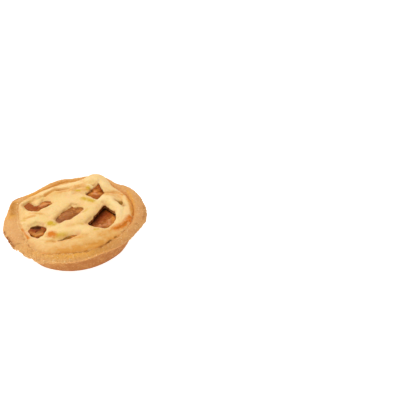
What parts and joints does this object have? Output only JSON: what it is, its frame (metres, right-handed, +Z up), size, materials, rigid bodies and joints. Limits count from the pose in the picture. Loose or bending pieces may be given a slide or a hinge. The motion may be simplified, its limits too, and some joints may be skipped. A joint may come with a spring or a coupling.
{
  "type": "mini apple pie",
  "caption": "Small round apple pie: a crumbly shortcrust shell with a flared rim, an apple filling, and a cut lattice lid whose windows show the filling.",
  "frame": {"origin": "centre of the pie's box, on the flat underside that it stands on", "axes": "+Z up, out through the lid; the side at -Y is the one nearest the picture's camera, and +X is to its right"},
  "size_m": [0.0793, 0.0791, 0.0214],
  "materials": {
    "shortcrust": "baked shortcrust, matt and crumbly",
    "filling": "cooked apple in set sauce, moist",
    "lid_pastry": "egg-washed baked pastry, satin"
  },
  "bodies": {
    "root": {"crust_shell": "shortcrust", "apple_filling": "filling", "lattice_lid": "lid_pastry"}
  },
  "joints": []
}
